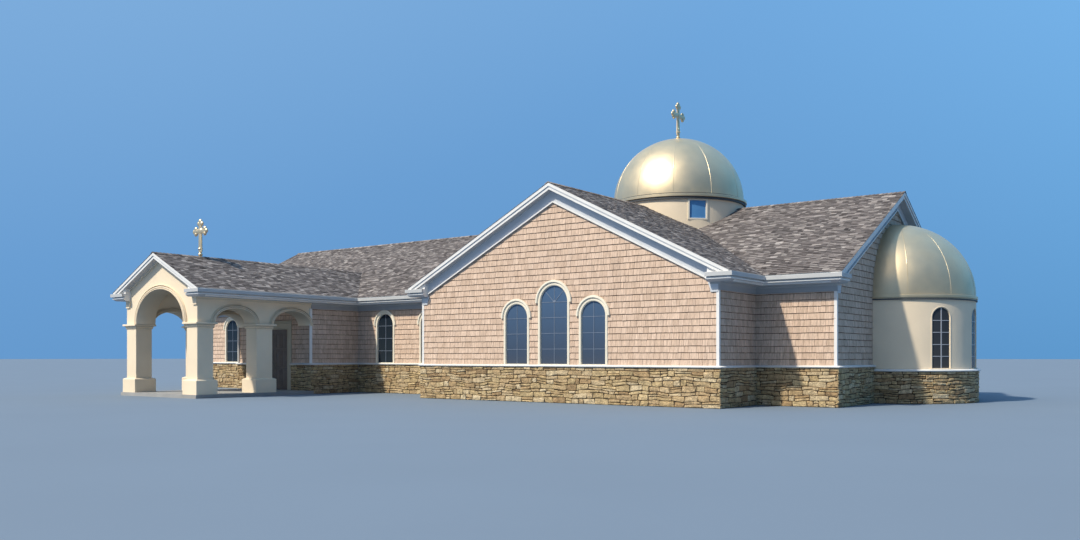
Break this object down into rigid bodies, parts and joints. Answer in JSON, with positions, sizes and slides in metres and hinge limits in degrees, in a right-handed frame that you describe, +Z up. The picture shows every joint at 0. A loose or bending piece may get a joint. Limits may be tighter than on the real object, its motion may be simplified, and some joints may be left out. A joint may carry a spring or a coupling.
{
  "type": "modern church building",
  "caption": "Cross-plan church with shingled walls on a stone base, gold dome over the crossing, round apse and arcaded entrance portico with double doors.",
  "frame": {"origin": "on the ground under the middle of the dome, where the axes of nave and transept cross", "axes": "+X east along the nave to the apse, +Y north across the transept, the portico faces -Y, +Z up"},
  "size_m": [34.26, 22.57, 11.6103],
  "materials": {
    "stone": "split face ledge stone",
    "concrete": "broomed concrete",
    "shingle": "stained cedar shakes",
    "window_glass": "dark glazing",
    "stucco": "fine sand stucco",
    "gold": "satin champagne gold",
    "roof_shingle": "mineral faced shingles",
    "casing": "painted taupe",
    "door": "dark stain, satin"
  },
  "bodies": {
    "church": {"nave_stone_base": "stone", "nave_stone_base_southeast": "stone", "transept_south_stone_base": "stone", "transept_north_stone_base": "stone", "east_arm_south_stone_base": "stone", "east_arm_north_stone_base": "stone", "apse_stone_base": "stone", "vestibule_west_stone_base": "stone", "vestibule_east_stone_base": "stone", "church_floor": "concrete", "portico_floor": "concrete", "nave_southwest_wall": "shingle", "nave_southeast_wall": "shingle", "nave_north_wall": "shingle", "transept_south_gable_wall": "shingle", "transept_north_gable_wall": "shingle", "west_gable_wall": "shingle", "transept_south_west_wall": "shingle", "transept_north_west_wall": "shingle", "southeast_corner_wall": "shingle", "northeast_corner_wall": "shingle", "east_gable_wall": "shingle", "vestibule_west_wall": "shingle", "vestibule_east_wall": "shingle", "vestibule_wall_over_door": "shingle", "nave_southwest_window_glass": "window_glass", "nave_southeast_window_glass": "window_glass", "nave_north_window_glass": "window_glass", "transept_south_window_glass": "window_glass", "transept_north_window_glass": "window_glass", "west_window_glass": "window_glass", "apse_window_glass": "window_glass", "drum_window_glass": "window_glass", "apse_south_wall": "stucco", "apse_east_wall": "stucco", "apse_north_wall": "stucco", "drum_wall": "stucco", "portico_front_west_pier": "stucco", "portico_front_east_pier": "stucco", "portico_middle_west_pier": "stucco", "portico_middle_east_pier": "stucco", "portico_west_arches": "stucco", "portico_east_arches": "stucco", "portico_front_arch": "stucco", "apse_cornice": "gold", "apse_half_dome": "gold", "dome_cornice": "gold", "dome": "gold", "dome_cross": "gold", "portico_cross": "gold", "nave_roof_south_slope": "roof_shingle", "nave_roof_north_slope": "roof_shingle", "transept_south_roof": "roof_shingle", "transept_north_roof": "roof_shingle", "east_arm_roof": "roof_shingle", "portico_roof": "roof_shingle", "door_frame": "casing"},
    "west_door": {"west_door_leaf": "door"},
    "east_door": {"east_door_leaf": "door"}
  },
  "joints": [
    {"name": "west_door_hinge", "type": "hinge", "parent": "church", "child": "west_door", "pos_m": [-15.328, -8.357, 1.38], "axis": [0, 0, -1], "range_deg": [0, 90]},
    {"name": "east_door_hinge", "type": "hinge", "parent": "church", "child": "east_door", "pos_m": [-13.572, -8.357, 1.38], "axis": [0, 0, 1], "range_deg": [0, 90]}
  ]
}
